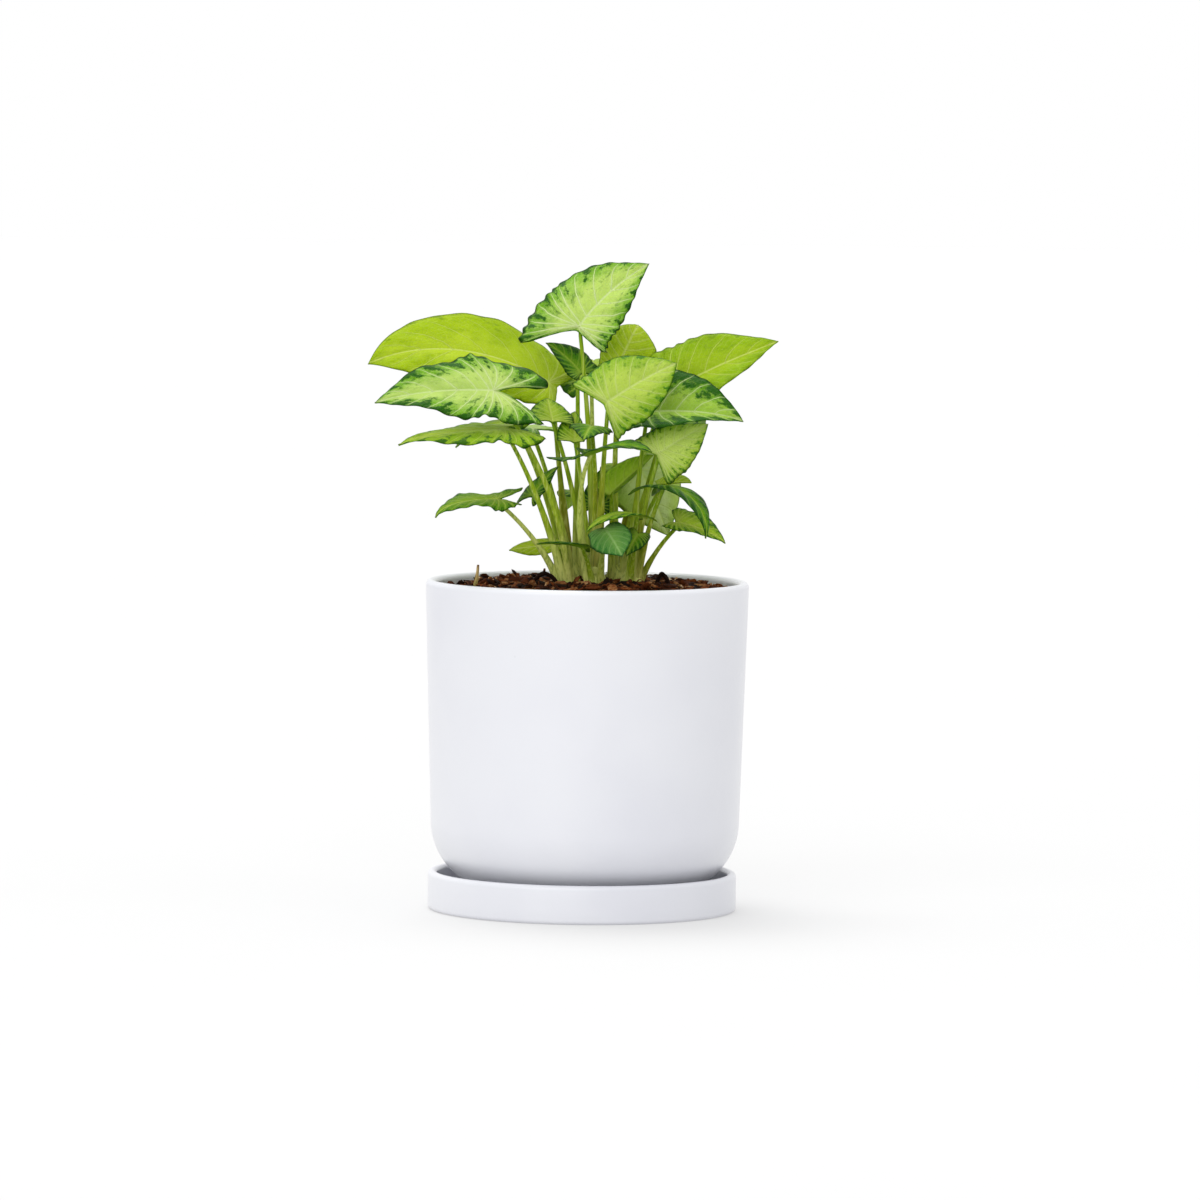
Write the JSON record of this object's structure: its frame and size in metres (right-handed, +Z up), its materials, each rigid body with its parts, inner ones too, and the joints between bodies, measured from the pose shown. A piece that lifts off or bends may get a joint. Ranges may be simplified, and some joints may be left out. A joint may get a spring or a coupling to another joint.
{
  "type": "potted syngonium",
  "caption": "Syngonium plant with arrow-shaped green and cream leaves on long stalks, in a plain round white ceramic pot with a rounded base, on a matching saucer.",
  "frame": {"origin": "centre of the saucer's flat underside, on the surface that the object stands on", "axes": "+Z up along the pot and the plant, -Y towards the front as pictured, +X to its right"},
  "size_m": [0.2033, 0.168, 0.3208],
  "materials": {
    "ceramic": "satin white glaze, faintly blue",
    "mix": "dark moist bark chips and fibre, matt",
    "withered": "dry olive-brown stub, matt",
    "stalk": "yellow-green stalk flesh with a soft sheen",
    "variegated": "leaf blade, cream centre and veins with deep green between and along the margin",
    "lime": "leaf blade, lime green with fine paler veins, satin",
    "pale": "leaf blade, pale yellow-green with green flecks, satin",
    "mid": "leaf blade, fresh mid green, satin",
    "dark": "leaf blade, deep green, satin",
    "teal": "leaf blade, blue-green, satin"
  },
  "bodies": {
    "root": {"saucer": "ceramic", "pot": "ceramic", "potting_mix": "mix", "withered_stub": "withered", "shoot_left": "stalk", "shoot_front": "stalk", "shoot_right": "stalk", "shoot_middle": "stalk", "shoot_back_left": "stalk", "shoot_back_right": "stalk", "leaf_top": "variegated", "leaf_left_lime": "lime", "leaf_left_variegated": "variegated", "leaf_left_lower": "mid", "leaf_left_under": "mid", "leaf_centre_olive": "mid", "leaf_centre_rolled": "mid", "leaf_centre_broad": "pale", "leaf_centre_toothed": "dark", "leaf_right_lime": "lime", "leaf_right_variegated": "variegated", "leaf_right_lower": "pale", "leaf_front_arched": "dark", "leaf_spear": "mid", "leaf_back_pale": "pale", "leaf_right_hooked": "dark", "leaf_right_rolled": "lime", "leaf_right_low": "mid", "leaf_left_low": "mid", "leaf_left_small": "dark", "leaf_left_yellow": "lime", "leaf_front_thin": "dark", "leaf_front_teal": "teal", "leaf_front_arch": "mid", "leaf_right_small": "dark", "leaf_upper_lime": "lime", "leaf_upper_dark": "dark", "leaf_inner_dark": "dark", "leaf_back_left": "variegated", "leaf_back_right": "variegated", "leaf_back_middle": "mid", "leaf_back_low": "mid"}
  },
  "joints": []
}
